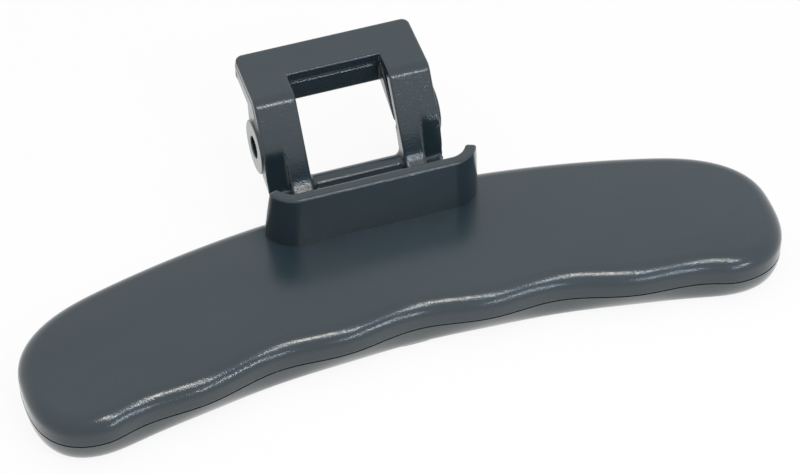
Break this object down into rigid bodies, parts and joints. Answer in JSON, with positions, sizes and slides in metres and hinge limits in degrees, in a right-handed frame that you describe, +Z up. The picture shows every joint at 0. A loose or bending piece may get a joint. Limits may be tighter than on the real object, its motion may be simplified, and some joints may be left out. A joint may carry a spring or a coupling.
{
  "type": "washing machine door handle",
  "caption": "Curved plastic door handle for a front-loading washing machine, with a finger-waved grip, a collar and a gooseneck lug with a square window and pivot holes",
  "frame": {"origin": "bottom centre of the bounding box, on the surface that the handle lies on", "axes": "+X along the grip, +Y from the grip towards the lug, +Z up, away from the machine side"},
  "size_m": [0.16, 0.072, 0.031],
  "materials": {
    "front_plastic": "dark blue-grey moulded plastic, fine grain, satin",
    "cover_plastic": "dark blue-grey moulded plastic, fine grain, satin"
  },
  "bodies": {
    "root": {"front_moulding": "front_plastic", "back_cover": "cover_plastic"}
  },
  "joints": []
}
